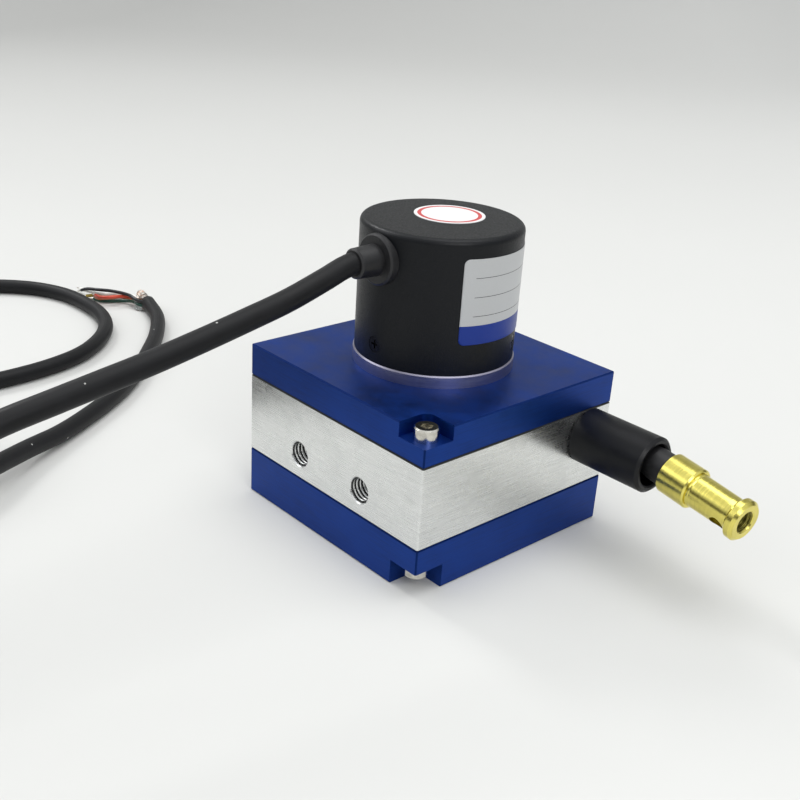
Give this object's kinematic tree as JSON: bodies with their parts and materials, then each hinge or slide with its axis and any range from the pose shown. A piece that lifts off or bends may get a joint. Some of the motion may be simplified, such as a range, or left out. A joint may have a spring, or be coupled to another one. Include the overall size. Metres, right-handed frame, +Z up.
{
  "type": "draw wire encoder",
  "caption": "Square two-tone housing with a spring-loaded wire drum, a side sleeve for the wire's end fitting and a round rotary encoder on top with its cable.",
  "frame": {"origin": "centre of the housing's square underside", "axes": "+Z up along the drum's axis, +X the way the wire is drawn, -Y the side with the two tapped holes and the cable outlet"},
  "size_m": [0.2948, 0.1979, 0.0744],
  "materials": {
    "blue_anodised": "satin blue anodised, fine machining lines",
    "brushed_aluminium": "clear, linear brushed",
    "turned_aluminium": "turned",
    "nickel_screws": "nickel plated",
    "black_screws": "black oxide",
    "bearing_steel": "ground",
    "spring_steel": "blued strip",
    "wire_steel": "bright stranded",
    "drum_plastic": "moulded acetal",
    "black_plastic": "matt",
    "cover_paint": "satin black paint on aluminium",
    "black_rubber": "moulded",
    "brass": "polished, turned",
    "disc_metal": "etched",
    "board": "solder mask",
    "header_plastic": "moulded",
    "lead_wire": "tinned",
    "label": "printed film",
    "cable_jacket": "matt jacket",
    "core_insulation": "coloured insulation",
    "copper_screen": "braided copper"
  },
  "bodies": {
    "housing": {"bottom_plate": "blue_anodised", "bottom_plate_screws": "nickel_screws", "spring_anchor_pin": "bearing_steel", "power_spring": "spring_steel", "spring_cover_plate": "turned_aluminium", "spring_cover_screws": "black_screws", "middle_frame": "brushed_aluminium", "top_plate": "blue_anodised", "top_plate_screws": "nickel_screws", "drum_bearing_outers": "bearing_steel", "drum_bearing_balls": "bearing_steel", "outlet_sleeve": "black_plastic", "wire_bush": "brass", "encoder_base": "turned_aluminium", "encoder_mount_screws": "nickel_screws", "encoder_bearing_outers": "bearing_steel", "encoder_bearing_balls": "bearing_steel", "led_emitter": "black_plastic", "light_sensor": "black_plastic", "board_pillars": "brass", "circuit_board": "board", "board_screws": "nickel_screws", "board_header": "header_plastic", "inner_leads": "lead_wire", "encoder_cover": "cover_paint", "cover_screws": "black_screws", "side_label": "label", "top_label": "label", "cable_grommet": "black_rubber", "signal_cable": "cable_jacket", "cable_coil": "cable_jacket", "cable_tail": "cable_jacket", "cable_cores": "core_insulation", "cable_screen": "copper_screen"},
    "drum": {"drum": "drum_plastic", "drum_shaft": "bearing_steel", "drum_grub_screws": "black_screws", "drum_bearing_inners": "bearing_steel", "wound_wire": "wire_steel", "encoder_shaft": "bearing_steel", "encoder_bearing_inners": "bearing_steel", "disc_hub": "brass", "code_disc": "disc_metal", "disc_clamp": "brass"},
    "wire_end": {"draw_wire": "wire_steel", "rubber_stopper": "black_rubber", "wire_connector": "brass", "wire_ferrule": "wire_steel"}
  },
  "joints": [
    {"name": "wire_draw", "type": "slide", "parent": "housing", "child": "wire_end", "axis": [1, 0, 0], "range_m": [0, 1], "stiffness_N_per_m": 2, "springref_m": -2, "deforming": ["draw_wire"]},
    {"name": "drum_turn", "type": "hinge", "parent": "housing", "child": "drum", "pos_m": [0, 0, 0], "axis": [0, 0, -1], "range_deg": [0, 2480], "deforming": ["power_spring"]}
  ],
  "couplings": [
    {"joint": "drum_turn", "follows": "wire_draw", "rad_per_m": 43.103}
  ]
}
